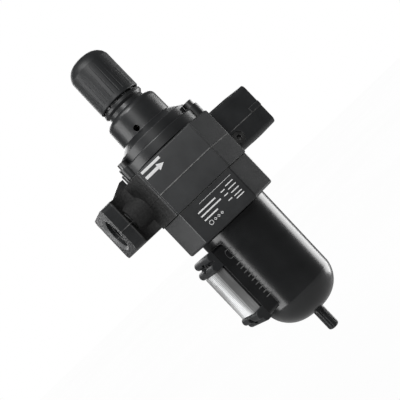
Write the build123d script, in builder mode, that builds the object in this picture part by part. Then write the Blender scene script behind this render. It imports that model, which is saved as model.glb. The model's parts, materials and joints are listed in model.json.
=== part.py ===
from build123d import *
import math
import os

# Filter regulator with a bayonet bowl, in millimetres.
# +Z is up, the ports lie along X, and the origin is the centre of the drain outlet's mouth.

# ---- driving dimensions -------------------------------------------------------------------
port_height = 206.5            # port centre line above the drain outlet
port_reach = 95.0              # port faces from the upright axis
port_radius = 15.145           # G1 internal thread, minor radius
port_depth = 22.0
port_chamfer = 2.2
passage_radius = 13.0
passage_wall = 3.5
boss_size = 48.0               # square port boss
boss_corner = 5.0
block_turn = -22.5             # square block against the port line, about Z
bonnet_turn = -14.0            # bonnet screws against the port line

block_size = 104.0             # yoke block, across flats
block_corner = 20.6            # 45 degree corners
block_bottom = port_height - 26.5
block_top = port_height + 26.5
seam_proud = 0.4               # casting seam round the yoke
seam_height = 0.8
seam_bottom = port_height - 3.4
panel_groove = 1.6
scoop_radius = 17.0            # cast hollow between boss and block

core_radius = 34.0             # yoke bore
core_clearance = 0.1
head_size = 102.0
head_bottom = port_height - 63.5
head_gap = 0.4

diaphragm_thickness = 1.5
diaphragm_radius = 42.0
bonnet_base = block_top + diaphragm_thickness
bonnet_flange_radius = 47.0
bonnet_flange_top = port_height + 38.5
bonnet_ring_radius = 41.5
bonnet_ring_top = port_height + 47.5
bonnet_cone_top = port_height + 54.5
bonnet_radius = 30.0
bonnet_top = port_height + 80.5
bonnet_cavity_radius = 25.5
bonnet_roof = port_height + 76.5
vent_height = port_height + 58.5
vent_turn = -33.5
vent_radius = 3.2
neck_radius = 19.0
neck_top = bonnet_top + 19.0

knob_bottom = port_height + 92.8
knob_top = port_height + 146.7
knob_radius = 23.0
knob_flutes = 30
lock_travel = 2.0
lock_teeth = 12
lock_tooth_angle = 9.0

screw_radius = 5.0
fit = 0.05                     # radial running clearance
screw_hex = 9.0                # across flats
nut_radius = 24.5
nut_height = 6.0
nut_travel = 15.0
valve_travel = 2.0

bowl_radius = 37.4             # neck inside the head
bowl_body_radius = 39.6
bowl_wall = 3.2
bowl_foot = 25.0               # underside of the bowl
bowl_dome = 52.0               # where the dome begins
bowl_neck_top = port_height - 39.5
lug_height = 4.0
lug_reach = 3.4
lug_angle = 24.0
bowl_turn = 26.0
lug_count = 4

sight_turn = -82.5             # direction that the sight glass faces
sight_bottom = port_height - 152.0
sight_top = port_height - 70.5
sight_width = 34.0
glass_width = 28.0
glass_face = 59.0              # glass front from the upright axis
glass_bottom = port_height - 138.5
glass_top = port_height - 88.5

stem_radius = 5.8
drain_bore = 2.5
float_travel = 10.0
oring_radius = 1.25

os.makedirs("parts", exist_ok=True)


# ---- helpers ------------------------------------------------------------------------------
def level(height, turn=0.0):
    """Horizontal plane on the upright axis, turned about Z."""
    return Plane((0, 0, height)).rotated((0, 0, turn))


def facing(turn, height=0.0, reach=0.0):
    """Upright plane whose normal points outwards at a turn from -Y; its local Y is up."""
    angle = math.radians(turn)
    outward = Vector(math.sin(angle), -math.cos(angle), 0)
    across = Vector(math.cos(angle), math.sin(angle), 0)
    origin = outward * reach + Vector(0, 0, height)
    return Plane(origin=origin, x_dir=across, z_dir=outward)


def side_on(turn):
    """Upright plane through the axis, with its local X outwards at a turn from -Y and its local Y up."""
    angle = math.radians(turn)
    outward = Vector(math.sin(angle), -math.cos(angle), 0)
    return Plane(origin=(0, 0, 0), x_dir=outward, z_dir=(-math.cos(angle), -math.sin(angle), 0))


def save(piece, label):
    """Name the finished piece and write its STEP file."""
    piece.part.label = label
    export_step(piece.part, f"parts/{label}.step")


def octagon(size, corner):
    """Square with 45 degree corners."""
    with BuildSketch() as outline:
        Rectangle(size, size)
        chamfer(outline.vertices(), corner)
    return outline.sketch


def sector(inner, outer, middle, angle):
    """Part of a ring, centred on the angle `middle` from +X."""
    start = middle - angle / 2
    with BuildSketch() as band:
        with BuildLine():
            low = CenterArc((0, 0), inner, start, angle)
            high = CenterArc((0, 0), outer, start, angle)
            Line(low @ 0, high @ 0)
            Line(low @ 1, high @ 1)
        make_face()
    return band.sketch


def oring(label, height, middle_radius, section=oring_radius):
    """Round-section seal lying flat on the upright axis."""
    with BuildPart() as seal:
        with BuildSketch(Plane.XZ):
            with Locations((middle_radius, height)):
                Circle(section)
        revolve(axis=Axis.Z)
    save(seal, label)


def coil_spring(label, bottom, height, middle_radius, wire, turns):
    """Compression spring with its ends ground flat."""
    with BuildPart() as spring:
        with BuildLine(Plane((0, 0, bottom))) as route:
            Helix(height / turns, height, middle_radius)
        with BuildSketch(Plane(route.line @ 0, z_dir=route.line % 0)):
            Circle(wire / 2)
        sweep(is_frenet=True)
        with BuildSketch(Plane.XY.offset(bottom)):
            Circle(middle_radius + wire)
        extrude(amount=height, mode=Mode.INTERSECT)
    save(spring, label)


def cap_screws(label, places, under_head, head_radius, head_height, shank_radius, shank_length, socket):
    """A set of socket-head screws, heads up, at the given places."""
    with BuildPart() as screws:
        with BuildSketch(level(under_head)):
            with Locations(*places):
                Circle(head_radius)
        extrude(amount=head_height)
        chamfer(screws.faces().sort_by(Axis.Z)[-1].edges(), head_height * 0.08)
        with BuildSketch(level(under_head)):
            with Locations(*places):
                Circle(shank_radius)
        extrude(amount=-shank_length)
        with BuildSketch(level(under_head + head_height)):
            with Locations(*places):
                RegularPolygon(socket / 2, 6, major_radius=False)
        extrude(amount=-head_height * 0.55, mode=Mode.SUBTRACT)
    save(screws, label)


# ---- yoke: square block with a threaded boss on each side ---------------------------------
seat_web = block_bottom + 12.0          # underside of the valve seat web
bonnet_screw_x = 41.9
bonnet_screw_y = 19.1
bonnet_places = [(x * bonnet_screw_x, y * bonnet_screw_y) for x in (-1, 1) for y in (-1, 1)]
head_screw_pitch = 68.0
head_places = [(x * head_screw_pitch / 2, y * head_screw_pitch / 2) for x in (-1, 1) for y in (-1, 1)]
gauge_radius = 4.283                    # G1/8 internal thread, minor radius
gauge_x = 53.5
gauge_z = port_height - 12.0
gauge_recess = 6.4
gauge_recess_depth = 2.6
gauge_depth = boss_size / 2 - passage_radius + 6.0
draft_half = 19.0
draft_outline = ((-94.0, 22.0), (-94.0, 23.9), (-73.0, 25.1), (-48.0, 25.1), (-48.0, 22.0))
ear_front = 8.0
ear_depth = 22.0
ear_outline = ((-76.0, 22.0), (-76.0, 25.1), (-60.0, 33.0), (-55.5, 33.0), (-55.5, 22.0))
block_outline = octagon(block_size, block_corner)

with BuildPart() as yoke:
    with BuildSketch(Plane.YZ.offset(-port_reach)):
        with Locations((0, port_height)):
            RectangleRounded(boss_size, boss_size, boss_corner)
    extrude(amount=2 * port_reach)
    # drafted top of the bosses
    for turn in (0, 180):
        with BuildSketch(Plane.XZ.rotated((0, 0, turn))):
            Polygon(*[(x, port_height + z) for x, z in draft_outline], align=None)
        extrude(amount=draft_half, both=True)
    # hollow beside the block at opposite corners
    for turn in (0, 180):
        with BuildSketch(level(port_height - boss_size / 2, turn)):
            with Locations((-66.0, -boss_size / 2 - 1.0)):
                Circle(scoop_radius)
        extrude(amount=boss_size + 4.0, mode=Mode.SUBTRACT)
    # wall of the passages, where the hollows cut past them
    with BuildSketch(Plane.YZ.offset(-port_reach + port_depth - 4.0)):
        with Locations((0, port_height)):
            Circle(passage_radius + passage_wall)
    extrude(amount=2 * (port_reach - port_depth + 4.0))
    with BuildSketch(level(block_bottom, block_turn)):
        add(block_outline)
    extrude(amount=block_top - block_bottom)
    block_edges = yoke.edges().filter_by(GeomType.LINE).filter_by(Plane.XY)
    top_edges = block_edges.filter_by_position(Axis.Z, block_top - 0.1, block_top + 0.1)
    chamfer(top_edges, 1.2)
    # ear that rises from the inlet boss behind the hollow
    with BuildSketch(Plane.XZ.offset(ear_front)):
        Polygon(*[(x, port_height + z) for x, z in ear_outline], align=None)
    extrude(amount=-ear_depth)
    # casting seam round the whole yoke
    with BuildSketch(level(seam_bottom, block_turn)):
        add(block_outline)
        offset(amount=seam_proud)
    extrude(amount=seam_height)
    for end, depth in ((-port_reach, 16.0), (port_reach - 40.0, 40.0)):
        with BuildSketch(level(seam_bottom)):
            with Locations((end, 0)):
                Rectangle(depth, boss_size + 2 * seam_proud, align=(Align.MIN, Align.CENTER))
        extrude(amount=seam_height)
    # raised pad beside the seam on the outlet boss
    with BuildSketch(level(seam_bottom + seam_height)):
        with Locations((port_reach, -boss_size / 2)):
            Rectangle(13.0, 2.4, align=(Align.MAX, Align.CENTER))
    extrude(amount=5.0)
    # grooves that bound the front and back panels
    for turn in (0, 180):
        with BuildSketch(level(block_bottom, block_turn + turn)):
            for side in (-1, 1):
                with Locations((side * (block_size / 2 - block_corner + 0.4), -block_size / 2)):
                    Rectangle(panel_groove, 2.2)
        extrude(amount=block_top - block_bottom, mode=Mode.SUBTRACT)
    # upright bore for the regulator body
    with BuildSketch(Plane.XY.offset(block_bottom)):
        Circle(core_radius)
    extrude(amount=block_top - block_bottom, mode=Mode.SUBTRACT)
    # ports and passages
    for side in (-1, 1):
        mouth = Plane(origin=(side * port_reach, 0, port_height), z_dir=(side, 0, 0))
        with BuildSketch(mouth):
            Circle(port_radius)
        extrude(amount=-port_depth, mode=Mode.SUBTRACT)
        with BuildSketch(mouth):
            Circle(passage_radius)
        extrude(amount=-(port_reach - core_radius + 4.0), mode=Mode.SUBTRACT)
        face_edges = yoke.edges().filter_by_position(Axis.X, side * port_reach - 0.1, side * port_reach + 0.1)
        chamfer(face_edges.filter_by(GeomType.CIRCLE).sort_by(Edge.radius)[-1], port_chamfer)
    # gauge ports, one on each long side
    for turn in (0, 180):
        wall = Plane((0, -boss_size / 2, 0), x_dir=(1, 0, 0), z_dir=(0, -1, 0))
        if turn:
            wall = Plane((0, boss_size / 2, 0), x_dir=(-1, 0, 0), z_dir=(0, 1, 0))
        with BuildSketch(wall):
            with Locations((gauge_x, gauge_z)):
                Circle(gauge_radius)
        extrude(amount=-gauge_depth, mode=Mode.SUBTRACT)
        with BuildSketch(wall):
            with Locations((gauge_x, gauge_z)):
                Circle(gauge_recess)
        extrude(amount=-gauge_recess_depth, mode=Mode.SUBTRACT)
    # tapped holes for the bonnet and head screws
    with BuildSketch(level(block_top, bonnet_turn)):
        with Locations(*bonnet_places):
            Circle(3.1)
    extrude(amount=-14.0, mode=Mode.SUBTRACT)
    with BuildSketch(level(block_bottom, block_turn)):
        with Locations(*head_places):
            Circle(3.1)
    extrude(amount=12.0, mode=Mode.SUBTRACT)
save(yoke, "yoke")

for name, turn in (("front_gauge_plug", 0), ("rear_gauge_plug", 180)):
    wall = Plane((0, -boss_size / 2, 0), x_dir=(1, 0, 0), z_dir=(0, -1, 0))
    if turn:
        wall = Plane((0, boss_size / 2, 0), x_dir=(-1, 0, 0), z_dir=(0, 1, 0))
    with BuildPart() as plug:
        with BuildSketch(wall):
            with Locations((gauge_x, gauge_z)):
                Circle(gauge_recess - 0.5)
        extrude(amount=-gauge_recess_depth)
        with BuildSketch(wall.offset(-gauge_recess_depth)):
            with Locations((gauge_x, gauge_z)):
                Circle(gauge_radius - fit)
        extrude(amount=-8.0)
        with BuildSketch(wall):
            with Locations((gauge_x, gauge_z)):
                RegularPolygon(2.5, 6, major_radius=False)
        extrude(amount=-4.5, mode=Mode.SUBTRACT)
    save(plug, name)

# ---- head: body of the unit, with its core up inside the yoke -----------------------------
core_top = block_top - 8.0
head_top = block_bottom - head_gap
chimney_radius = 16.0
chimney_bottom = head_bottom + 15.5
head_ceiling = head_bottom + 25.5
seat_top = seat_web + 4.0
seat_radius = 9.0
core_outer = core_radius - core_clearance
head_bore = bowl_radius + 0.4
lug_bottom = head_bottom + 6.0
lug_clear = 0.3
lower_oring = block_bottom + 4.0
upper_oring = core_top - 4.0

with BuildPart() as head:
    with BuildSketch(level(head_bottom, block_turn)):
        add(octagon(head_size, block_corner))
    extrude(amount=head_top - head_bottom)
    fillet(head.edges().filter_by(Axis.Z), 2.0)
    fillet(head.edges().group_by(Axis.Z)[0], 2.5)
    with BuildSketch(Plane.XY.offset(head_top)):
        Circle(core_outer)
    extrude(amount=core_top - head_top)
    # bowl socket
    with BuildSketch(Plane.XY.offset(head_bottom)):
        Circle(head_bore)
    extrude(amount=head_ceiling - head_bottom, mode=Mode.SUBTRACT)
    # chimney down to the filter
    with BuildSketch(Plane.XY.offset(chimney_bottom)):
        Circle(chimney_radius + 5.0)
    extrude(amount=head_ceiling - chimney_bottom)
    with BuildSketch(Plane.XY.offset(chimney_bottom)):
        Circle(chimney_radius)
    extrude(amount=seat_web - chimney_bottom, mode=Mode.SUBTRACT)
    with BuildSketch(Plane.XY.offset(seat_web)):
        Circle(seat_radius)
    extrude(amount=seat_top - seat_web, mode=Mode.SUBTRACT)
    with BuildSketch(Plane.XY.offset(seat_top)):
        Circle(chimney_radius + 4.0)
    extrude(amount=core_top - seat_top, mode=Mode.SUBTRACT)
    # inlet window and duct down to the bowl, outlet window
    with BuildSketch(Plane.XY.offset(port_height - 9.0)):
        with Locations((-core_radius + 1.0, 0)):
            Rectangle(13.0, 22.0)
    extrude(amount=18.0, mode=Mode.SUBTRACT)
    with BuildSketch(Plane.XY.offset(head_ceiling)):
        with Locations((-26.0, 0)):
            Rectangle(7.5, 22.0)
    extrude(amount=port_height - head_ceiling, mode=Mode.SUBTRACT)
    with BuildSketch(Plane.XY.offset(port_height - 7.0)):
        with Locations((core_radius - 7.0, 0)):
            Rectangle(22.0, 22.0)
    extrude(amount=16.0, mode=Mode.SUBTRACT)
    # seal grooves
    for height in (lower_oring, upper_oring):
        with BuildSketch(Plane.XY.offset(height - oring_radius - 0.1)):
            Circle(core_outer + 1.0)
            Circle(core_outer - 2 * oring_radius, mode=Mode.SUBTRACT)
        extrude(amount=2 * oring_radius + 0.2, mode=Mode.SUBTRACT)
    # bayonet track: entry slot, then a turn to the lock
    for lug in range(lug_count):
        locked = lug * 360 / lug_count + block_turn
        track = sector(head_bore - 1.0, bowl_radius + lug_reach + lug_clear, locked + bowl_turn / 2,
                       lug_angle + bowl_turn + 2.0)
        entry = sector(head_bore - 1.0, bowl_radius + lug_reach + lug_clear, locked + bowl_turn,
                       lug_angle + 2.0)
        with BuildSketch(Plane.XY.offset(lug_bottom - lug_clear)):
            add(track)
        extrude(amount=lug_height + 2 * lug_clear, mode=Mode.SUBTRACT)
        with BuildSketch(Plane.XY.offset(head_bottom)):
            add(entry)
        extrude(amount=lug_bottom - head_bottom, mode=Mode.SUBTRACT)
    # screws up into the yoke
    with BuildSketch(level(head_bottom, block_turn)):
        with Locations(*head_places):
            Circle(3.3)
    extrude(amount=head_top - head_bottom, mode=Mode.SUBTRACT)
    with BuildSketch(level(head_bottom, block_turn)):
        with Locations(*head_places):
            Circle(5.4)
    extrude(amount=8.0, mode=Mode.SUBTRACT)
save(head, "head")

oring("lower_yoke_oring", lower_oring, core_outer - oring_radius)
oring("upper_yoke_oring", upper_oring, core_outer - oring_radius)

with BuildPart() as head_screws:
    with BuildSketch(level(head_bottom + 2.5, block_turn)):
        with Locations(*head_places):
            Circle(5.0)
    extrude(amount=5.5)
    with BuildSketch(level(head_bottom + 8.0, block_turn)):
        with Locations(*head_places):
            Circle(3.0)
    extrude(amount=head_top - head_bottom + 2.0)
    with BuildSketch(level(head_bottom + 2.5, block_turn)):
        with Locations(*head_places):
            RegularPolygon(2.5, 6, major_radius=False)
    extrude(amount=3.0, mode=Mode.SUBTRACT)
save(head_screws, "head_screws")

# ---- diaphragm and the parts that move with it --------------------------------------------
roll_radius = 3.0
roll_middle = 29.0                      # rolled fold of the diaphragm, from the axis
diaphragm_hole = 9.0
hub_radius = 7.0
plate_radius = 22.0

with BuildPart() as diaphragm:
    with BuildSketch(Plane.XZ):
        with Locations(((diaphragm_radius + diaphragm_hole) / 2, block_top + diaphragm_thickness / 2)):
            Rectangle(diaphragm_radius - diaphragm_hole, diaphragm_thickness)
        with Locations((roll_middle, block_top + 0.2)):
            Circle(roll_radius)
            Circle(roll_radius - diaphragm_thickness, mode=Mode.SUBTRACT)
            upper_half = (Align.CENTER, Align.MIN)
            Rectangle(2 * roll_radius + 1, roll_radius + 1, align=upper_half, mode=Mode.SUBTRACT)
        inner_flat = roll_middle - roll_radius
        outer_flat = roll_middle + roll_radius
        with Locations(((inner_flat + diaphragm_hole) / 2, block_top + diaphragm_thickness / 2)):
            Rectangle(inner_flat + diaphragm_thickness - diaphragm_hole, diaphragm_thickness)
        with Locations(((outer_flat + diaphragm_radius) / 2, block_top + diaphragm_thickness / 2)):
            Rectangle(diaphragm_radius - outer_flat + diaphragm_thickness, diaphragm_thickness)
    revolve(axis=Axis.Z)
save(diaphragm, "diaphragm")

rest_bottom = bonnet_base + valve_travel + 0.5
rest_top = rest_bottom + 3.0
with BuildPart() as diaphragm_plate:
    with BuildSketch(Plane.XY.offset(block_top - 3.2)):
        Circle(plate_radius)
    extrude(amount=2.4)
    with BuildSketch(Plane.XY.offset(block_top - 5.0)):
        Circle(hub_radius)
    extrude(amount=rest_bottom - block_top + 5.0)
save(diaphragm_plate, "diaphragm_plate")

with BuildPart() as lower_spring_rest:
    with BuildSketch(Plane.XY.offset(rest_bottom)):
        Circle(plate_radius)
    extrude(amount=rest_top - rest_bottom)
    with BuildSketch(Plane.XY.offset(rest_top)):
        Circle(plate_radius)
        Circle(plate_radius - 1.5, mode=Mode.SUBTRACT)
    extrude(amount=2.0)
    with BuildSketch(Plane.XY.offset(rest_bottom)):
        with PolarLocations(10.0, 4):
            Circle(1.5)
    extrude(amount=rest_top - rest_bottom, mode=Mode.SUBTRACT)
save(lower_spring_rest, "lower_spring_rest")

poppet_radius = 12.0
poppet_seal_height = 2.0
poppet_height = 3.0
poppet_bottom = seat_web - poppet_seal_height - poppet_height
stem_bore = 4.0
guide_top = poppet_bottom - 11.0
guide_bottom = guide_top - 14.0

with BuildPart() as valve_pin:
    with BuildSketch(Plane.XY.offset(seat_web + 0.5)):
        Circle(2.5)
    extrude(amount=block_top - 5.0 - seat_web - 0.5)
    fillet(valve_pin.edges().group_by(Axis.Z)[-1], 0.8)
save(valve_pin, "valve_pin")

with BuildPart() as valve_poppet:
    with BuildSketch(Plane.XY.offset(poppet_bottom)):
        Circle(poppet_radius)
    extrude(amount=poppet_height)
    with BuildSketch(Plane.XY.offset(poppet_bottom + poppet_height)):
        Circle(4.0)
    extrude(amount=poppet_seal_height + 0.5)
    with BuildSketch(Plane.XY.offset(guide_top - 3.0)):
        Circle(stem_bore)
    extrude(amount=poppet_bottom - guide_top + 3.0)
save(valve_poppet, "valve_poppet")

with BuildPart() as poppet_seal:
    with BuildSketch(Plane.XY.offset(seat_web - poppet_seal_height)):
        Circle(poppet_radius - 0.5)
        Circle(4.0, mode=Mode.SUBTRACT)
    extrude(amount=poppet_seal_height)
save(poppet_seal, "poppet_seal")

with BuildPart() as valve_guide:
    with BuildSketch(Plane.XY.offset(guide_bottom)):
        Circle(8.0)
    extrude(amount=guide_top - guide_bottom)
    with BuildSketch(Plane.XY.offset(guide_bottom + 4.0)):
        Circle(chimney_radius)
        Circle(chimney_radius - 2.0, mode=Mode.SUBTRACT)
    extrude(amount=5.0)
    with BuildSketch(Plane.XY.offset(guide_bottom + 4.0)):
        for turn in (90, 210, 330):
            add(sector(7.5, chimney_radius - 1.0, turn, 24))
    extrude(amount=5.0)
    with BuildSketch(Plane.XY.offset(guide_top)):
        Circle(stem_bore + fit)
    extrude(amount=-3.0 - valve_travel - 0.5, mode=Mode.SUBTRACT)
    with BuildSketch(Plane.XY.offset(guide_bottom)):
        Circle(3.0)
    extrude(amount=6.0, mode=Mode.SUBTRACT)
save(valve_guide, "valve_guide")

coil_spring("valve_spring", guide_top, poppet_bottom - guide_top, 6.6, 1.1, 4)

# ---- bonnet, adjusting screw, nut and range spring ----------------------------------------
nut_top = bonnet_roof - 6.0
nut_bottom = nut_top - nut_height
collar_top = bonnet_roof - 1.5
ear_radius = 27.4
ear_width = 8.0

with BuildPart() as bonnet:
    with BuildSketch(Plane.XZ):
        with BuildLine():
            Polyline(
                (0, bonnet_base),
                (bonnet_flange_radius, bonnet_base),
                (bonnet_flange_radius, bonnet_flange_top),
                (bonnet_ring_radius, bonnet_flange_top),
                (bonnet_ring_radius, bonnet_ring_top),
                (bonnet_radius + 1.5, bonnet_cone_top),
                (bonnet_radius, bonnet_cone_top + 0.5),
                (bonnet_radius - 0.6, bonnet_top),
                (0, bonnet_top),
                (0, bonnet_base),
            )
        make_face()
    revolve(axis=Axis.Z)
    shoulder = bonnet.edges().filter_by(GeomType.CIRCLE).group_by(Axis.Z)[-1]
    fillet(shoulder, 5.5)
    fillet(bonnet.edges().filter_by(GeomType.CIRCLE).filter_by_position(
        Axis.Z, bonnet_flange_top - 0.1, bonnet_flange_top + 0.1).sort_by(SortBy.RADIUS)[-1], 1.2)
    # screw bosses round the flange
    with BuildSketch(level(bonnet_base, bonnet_turn)):
        with Locations(*bonnet_places):
            Circle(7.0)
    extrude(amount=bonnet_flange_top - bonnet_base + 1.0)
    with BuildSketch(Plane.XY.offset(bonnet_top)):
        Circle(neck_radius)
    extrude(amount=neck_top - bonnet_top)
    # lock teeth round the neck
    with BuildSketch(Plane.XY.offset(bonnet_top)):
        for tooth in range(lock_teeth):
            add(sector(neck_radius - 0.5, neck_radius + 1.3, tooth * 360 / lock_teeth, lock_tooth_angle))
    extrude(amount=knob_bottom - bonnet_top + 1.5)
    # spring chamber and screw bore
    with BuildSketch(Plane.XY.offset(bonnet_base)):
        Circle(bonnet_cavity_radius)
    extrude(amount=bonnet_roof - bonnet_base, mode=Mode.SUBTRACT)
    with BuildSketch(Plane.XY.offset(bonnet_base)):
        Circle(bonnet_cavity_radius + 9.0)
    extrude(amount=4.0, mode=Mode.SUBTRACT)
    with BuildSketch(Plane.XY.offset(bonnet_roof)):
        Circle(screw_radius + fit)
    extrude(amount=neck_top - bonnet_roof, mode=Mode.SUBTRACT)
    # guide grooves for the nut's ears
    with BuildSketch(Plane.XY.offset(bonnet_base)):
        Rectangle(2 * (ear_radius + 0.3), ear_width + 0.4)
    extrude(amount=bonnet_roof - bonnet_base, mode=Mode.SUBTRACT)
    with BuildSketch(facing(vent_turn, vent_height)):
        Circle(vent_radius)
    extrude(amount=bonnet_radius + 2.0, mode=Mode.SUBTRACT)
    with BuildSketch(level(bonnet_base, bonnet_turn)):
        with Locations(*bonnet_places):
            Circle(3.3)
    extrude(amount=20.0, mode=Mode.SUBTRACT)
    with BuildSketch(level(bonnet_flange_top + 1.0, bonnet_turn)):
        with Locations(*bonnet_places):
            Circle(5.4)
    extrude(amount=30.0, mode=Mode.SUBTRACT)
save(bonnet, "bonnet")

collar_face = knob_bottom - lock_travel - 0.3
with BuildPart() as knob_collar:
    with BuildSketch(Plane.XZ):
        with BuildLine():
            Polyline(
                (neck_radius + 1.4, bonnet_top),
                (neck_radius + 1.9, bonnet_top),
                (knob_radius - 2.4, bonnet_top + 4.5),
                (knob_radius - 0.3, bonnet_top + 7.0),
                (knob_radius - 0.3, collar_face - 0.6),
                (knob_radius - 0.9, collar_face),
                (neck_radius + 1.4, collar_face),
                (neck_radius + 1.4, bonnet_top),
            )
        make_face()
    revolve(axis=Axis.Z)
save(knob_collar, "knob_collar")

turned = math.radians(bonnet_turn)
bonnet_screw_places = [
    (x * math.cos(turned) - y * math.sin(turned), x * math.sin(turned) + y * math.cos(turned))
    for x, y in bonnet_places
]
cap_screws("bonnet_screws", bonnet_screw_places, bonnet_flange_top + 1.0, 5.0, 6.0, 3.0, 22.0, 5.0)

hex_bottom = neck_top + 1.0
hex_length = 24.0
with BuildPart() as adjusting_screw:
    with BuildSketch(Plane.XY.offset(rest_top + 5.0)):
        Circle(screw_radius)
    extrude(amount=hex_bottom - rest_top - 5.0)
    chamfer(adjusting_screw.edges().group_by(Axis.Z)[0], 0.8)
    with BuildSketch(Plane.XY.offset(collar_top)):
        Circle(10.0)
    extrude(amount=-3.0)
    with BuildSketch(Plane.XY.offset(hex_bottom)):
        RegularPolygon(screw_hex / 2, 6, major_radius=False)
    extrude(amount=hex_length)
    with BuildSketch(Plane.XY.offset(hex_bottom + hex_length)):
        Circle(2.1)
    extrude(amount=-14.0, mode=Mode.SUBTRACT)
save(adjusting_screw, "adjusting_screw")

with BuildPart() as thrust_washer:
    with BuildSketch(Plane.XY.offset(collar_top)):
        Circle(11.0)
        Circle(screw_radius + 0.2, mode=Mode.SUBTRACT)
    extrude(amount=bonnet_roof - collar_top)
save(thrust_washer, "thrust_washer")

with BuildPart() as spring_nut:
    with BuildSketch(Plane.XY.offset(nut_bottom)):
        Circle(nut_radius)
        Rectangle(2 * ear_radius, ear_width)
        Circle(screw_radius + fit, mode=Mode.SUBTRACT)
    extrude(amount=nut_height)
    with BuildSketch(Plane.XY.offset(nut_bottom)):
        Circle(9.0)
        Circle(screw_radius + fit, mode=Mode.SUBTRACT)
    extrude(amount=-5.0)
save(spring_nut, "spring_nut")

coil_spring("range_spring", rest_top, nut_bottom - rest_top, 15.5, 3.2, 4)

# ---- knob ---------------------------------------------------------------------------------
skirt_inner = neck_radius + 2.0
skirt_ceiling = knob_bottom + 12.0
hex_top = hex_bottom + hex_length + lock_travel + 0.3
screw_head_seat = hex_top + 1.5
cap_bottom = knob_top - 5.5
cap_radius = 10.0

with BuildPart() as adjusting_knob:
    with BuildSketch(Plane.XZ):
        with BuildLine():
            outline = Polyline(
                (0, knob_bottom),
                (knob_radius - 0.7, knob_bottom),
                (knob_radius, knob_bottom + 0.7),
                (knob_radius - 0.3, knob_top - 12.0),
            )
            shoulder = (knob_radius - 4.6, knob_top - 4.2)
            crown = ThreePointArc(outline @ 1, shoulder, (cap_radius + 1.0, knob_top - 0.4))
            Polyline(crown @ 1, (0, knob_top - 0.4), (0, knob_bottom))
        make_face()
    revolve(axis=Axis.Z)
    with BuildSketch(Plane.XY.offset(knob_bottom + 4.0)):
        with PolarLocations(knob_radius + 0.75, knob_flutes):
            Circle(1.1)
    extrude(amount=knob_top - knob_bottom - 19.0, mode=Mode.SUBTRACT)
    # skirt, hexagon and the recess under the cap
    with BuildSketch(Plane.XY.offset(knob_bottom)):
        Circle(skirt_inner)
    extrude(amount=skirt_ceiling - knob_bottom, mode=Mode.SUBTRACT)
    with BuildSketch(Plane.XY.offset(skirt_ceiling)):
        RegularPolygon(screw_hex / 2 + 0.1, 6, major_radius=False)
    extrude(amount=hex_top - skirt_ceiling, mode=Mode.SUBTRACT)
    with BuildSketch(Plane.XY.offset(hex_top)):
        Circle(2.8)
    extrude(amount=screw_head_seat - hex_top, mode=Mode.SUBTRACT)
    with BuildSketch(Plane.XY.offset(screw_head_seat)):
        Circle(5.5)
    extrude(amount=cap_bottom - screw_head_seat, mode=Mode.SUBTRACT)
    with BuildSketch(Plane.XY.offset(cap_bottom)):
        Circle(cap_radius)
    extrude(amount=knob_top - cap_bottom, mode=Mode.SUBTRACT)
    # lock teeth, clear above the neck's teeth until the knob is pushed down
    with BuildSketch(Plane.XY.offset(knob_bottom + 2.0)):
        for tooth in range(lock_teeth):
            middle = (tooth + 0.5) * 360 / lock_teeth
            add(sector(neck_radius + 0.3, skirt_inner + 0.5, middle, lock_tooth_angle))
    extrude(amount=4.0)
save(adjusting_knob, "adjusting_knob")

with BuildPart() as knob_cap:
    with BuildSketch(Plane.XY.offset(cap_bottom)):
        Circle(cap_radius - 0.1)
    extrude(amount=knob_top - cap_bottom)
    fillet(knob_cap.edges().group_by(Axis.Z)[-1], 0.8)
save(knob_cap, "knob_cap")

cap_screws("knob_screw", [(0, 0)], screw_head_seat + 0.1, 4.5, 3.4, 2.0, 16.0, 3.0)

# ---- filter inside the bowl ---------------------------------------------------------------
deflector_height = 5.0
element_outer = 24.0
element_inner = 18.0
element_top = chimney_bottom - deflector_height - 1.0
element_bottom = element_top - 46.0

with BuildPart() as deflector:
    with BuildSketch(Plane.XY.offset(chimney_bottom - deflector_height)):
        Circle(33.0)
        Circle(chimney_radius, mode=Mode.SUBTRACT)
    extrude(amount=deflector_height)
    for vane in range(18):
        with BuildSketch(Plane.XY.offset(chimney_bottom - deflector_height)):
            add(sector(25.5, 34.0, vane * 20, 9))
        extrude(amount=deflector_height, mode=Mode.SUBTRACT)
save(deflector, "deflector")

with BuildPart() as element_gasket:
    with BuildSketch(Plane.XY.offset(element_top)):
        Circle(element_outer)
        Circle(element_inner, mode=Mode.SUBTRACT)
    extrude(amount=1.0)
save(element_gasket, "element_gasket")

with BuildPart() as filter_element:
    with BuildSketch(Plane.XY.offset(element_bottom)):
        Circle(element_outer)
        Circle(element_inner, mode=Mode.SUBTRACT)
    extrude(amount=element_top - element_bottom)
save(filter_element, "filter_element")

baffle_height = 4.0
with BuildPart() as baffle:
    with BuildSketch(Plane.XZ):
        with BuildLine():
            Polyline(
                (3.1, element_bottom),
                (element_outer, element_bottom),
                (29.0, element_bottom - 5.0),
                (29.0, element_bottom - 7.0),
                (element_outer - 1.0, element_bottom - baffle_height),
                (3.1, element_bottom - baffle_height),
                (3.1, element_bottom),
            )
        make_face()
    revolve(axis=Axis.Z)
save(baffle, "baffle")

rod_bottom = element_bottom - baffle_height - 4.0
with BuildPart() as tie_rod:
    with BuildSketch(Plane.XY.offset(rod_bottom)):
        Circle(3.0)
    extrude(amount=guide_bottom + 6.0 - rod_bottom)
    with BuildSketch(Plane.XY.offset(rod_bottom)):
        RegularPolygon(5.0, 6, major_radius=False)
    extrude(amount=4.0)
save(tie_rod, "tie_rod")

# ---- bowl ---------------------------------------------------------------------------------
foot_radius = 9.0
foot_wall = 4.0
drain_hole = 6.5
bowl_groove = bowl_neck_top - 5.0
pad_face = 49.0
window_width = 16.0

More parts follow.
